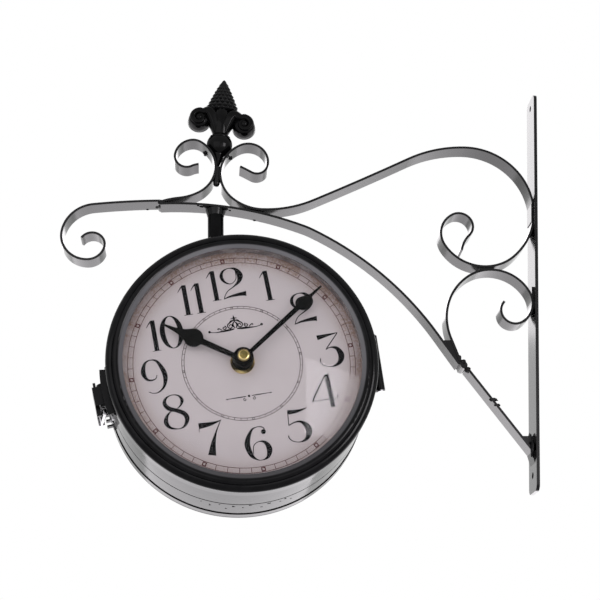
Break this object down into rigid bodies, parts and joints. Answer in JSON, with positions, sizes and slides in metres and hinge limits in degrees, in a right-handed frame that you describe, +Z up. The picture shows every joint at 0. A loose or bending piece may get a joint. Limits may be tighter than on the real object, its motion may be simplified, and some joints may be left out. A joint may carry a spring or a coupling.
{
  "type": "double sided station clock",
  "caption": "Double sided wall clock: round hinged case with a dial on each face, hung by a stem from a scrolled flat-steel bracket with a cast finial.",
  "frame": {"origin": "centre of the wall plate's two screw holes, on the plate's back face, where it meets the wall", "axes": "+Z up, +X into the wall, -Y out of the front dial"},
  "size_m": [0.2965, 0.0864, 0.2832],
  "materials": {
    "black_enamel": "gloss black enamel on flat steel strip",
    "case_enamel": "gloss black enamel on pressed steel",
    "zinc_steel": "zinc-plated steel",
    "black_hardware": "black painted steel",
    "bright_steel": "bright nickel-plated steel",
    "glass": "clear domed glass",
    "inner_ring": "gloss black ring",
    "dial_paper": "printed matt paper, browned at the rim",
    "dial_metal": "plain aluminium sheet",
    "movement_plastic": "black moulded plastic",
    "battery": "plain sleeve over a steel can",
    "brass": "polished brass",
    "hand_black": "satin black stamped aluminium",
    "knob_plastic": "grey moulded plastic"
  },
  "bodies": {
    "bracket": {"wall_plate": "black_enamel", "left_scroll_arm": "black_enamel", "long_arm": "black_enamel", "lower_brace": "black_enamel", "left_s_scroll": "black_enamel", "upper_arm": "black_enamel", "c_scroll": "black_enamel", "finial": "black_enamel", "stem": "black_enamel", "weld_beads": "black_enamel"},
    "hanger": {"hanger_stud": "zinc_steel", "hanger_nut": "zinc_steel"},
    "rear_case": {"rear_shell": "case_enamel", "rear_bezel": "case_enamel", "rear_glass": "glass", "rear_spacer_ring": "inner_ring", "rear_dial": "dial_paper", "rear_dial_plate": "dial_metal", "rear_movement": "movement_plastic", "rear_battery": "battery", "rear_bushing_nut": "brass", "hanger_strap": "zinc_steel", "strap_rivets": "zinc_steel", "hinge_leaf_rear": "black_hardware", "hinge_rivets_rear": "zinc_steel", "hinge_pin": "zinc_steel", "latch_keeper": "black_hardware", "keeper_rivets": "zinc_steel"},
    "front_case": {"front_shell": "case_enamel", "front_bezel": "case_enamel", "front_glass": "glass", "front_spacer_ring": "inner_ring", "front_dial": "dial_paper", "front_dial_plate": "dial_metal", "front_movement": "movement_plastic", "front_battery": "battery", "front_bushing_nut": "brass", "hinge_leaf_front": "black_hardware", "hinge_rivets_front": "zinc_steel", "latch_base": "black_hardware", "latch_rivets": "zinc_steel"},
    "lever": {"latch_lever": "black_hardware"},
    "loop": {"latch_loop": "bright_steel"},
    "front_minute_arbor": {"front_minute_hand": "hand_black", "front_cap_nut": "brass"},
    "front_hour_wheel": {"front_hour_hand": "hand_black"},
    "front_knob": {"front_set_knob": "knob_plastic"},
    "rear_minute_arbor": {"rear_minute_hand": "hand_black", "rear_cap_nut": "brass"},
    "rear_hour_wheel": {"rear_hour_hand": "hand_black"},
    "rear_knob": {"rear_set_knob": "knob_plastic"}
  },
  "joints": [
    {"name": "swivel", "type": "hinge", "parent": "bracket", "child": "hanger", "pos_m": [-0.20049, -0.00166, 0.00557], "axis": [-0.0713, 0.0591, 0.9957], "range_deg": [-90, 90]},
    {"name": "case_tilt", "type": "hinge", "parent": "hanger", "child": "rear_case", "pos_m": [-0.20049, -0.00166, 0.00557], "axis": [-0.0261, 0.9978, -0.061], "range_deg": [-1, 21]},
    {"name": "case_hinge", "type": "hinge", "parent": "rear_case", "child": "front_case", "pos_m": [-0.09844, -0.00297, -0.05948], "axis": [-0.1734, 0.0556, 0.9833], "range_deg": [0, 80]},
    {"name": "latch_lever_pivot", "type": "hinge", "parent": "front_case", "child": "lever", "pos_m": [-0.26003, -0.02401, -0.09669], "axis": [-0.2871, 0.051, 0.9565], "range_deg": [0, 100]},
    {"name": "latch_loop_pivot", "type": "hinge", "parent": "lever", "child": "loop", "pos_m": [-0.2598, -0.01801, -0.09695], "axis": [-0.2871, 0.051, 0.9565], "range_deg": [-90, 0]},
    {"name": "front_minute", "type": "hinge", "parent": "front_case", "child": "front_minute_arbor", "pos_m": [-0.17976, -0.03593, -0.07197], "axis": [-0.0261, 0.9978, -0.061], "continuous": true},
    {"name": "front_hour", "type": "hinge", "parent": "front_case", "child": "front_hour_wheel", "pos_m": [-0.17976, -0.03593, -0.07197], "axis": [-0.0261, 0.9978, -0.061], "continuous": true},
    {"name": "front_set", "type": "hinge", "parent": "front_case", "child": "front_knob", "pos_m": [-0.17017, -0.01268, -0.05637], "axis": [-0.0261, 0.9978, -0.061], "continuous": true},
    {"name": "rear_minute", "type": "hinge", "parent": "rear_case", "child": "rear_minute_arbor", "pos_m": [-0.18133, 0.02394, -0.07563], "axis": [0.0261, -0.9978, 0.061], "continuous": true},
    {"name": "rear_hour", "type": "hinge", "parent": "rear_case", "child": "rear_hour_wheel", "pos_m": [-0.18133, 0.02394, -0.07563], "axis": [0.0261, -0.9978, 0.061], "continuous": true},
    {"name": "rear_set", "type": "hinge", "parent": "rear_case", "child": "rear_knob", "pos_m": [-0.19774, 0.00216, -0.06411], "axis": [0.0261, -0.9978, 0.061], "continuous": true}
  ],
  "couplings": [
    {"joint": "latch_loop_pivot", "follows": "latch_lever_pivot", "ratio": -0.9},
    {"joint": "front_hour", "follows": "front_minute", "ratio": 0.083333},
    {"joint": "front_set", "follows": "front_minute", "ratio": -0.33333},
    {"joint": "rear_hour", "follows": "rear_minute", "ratio": 0.083333},
    {"joint": "rear_set", "follows": "rear_minute", "ratio": -0.33333}
  ]
}
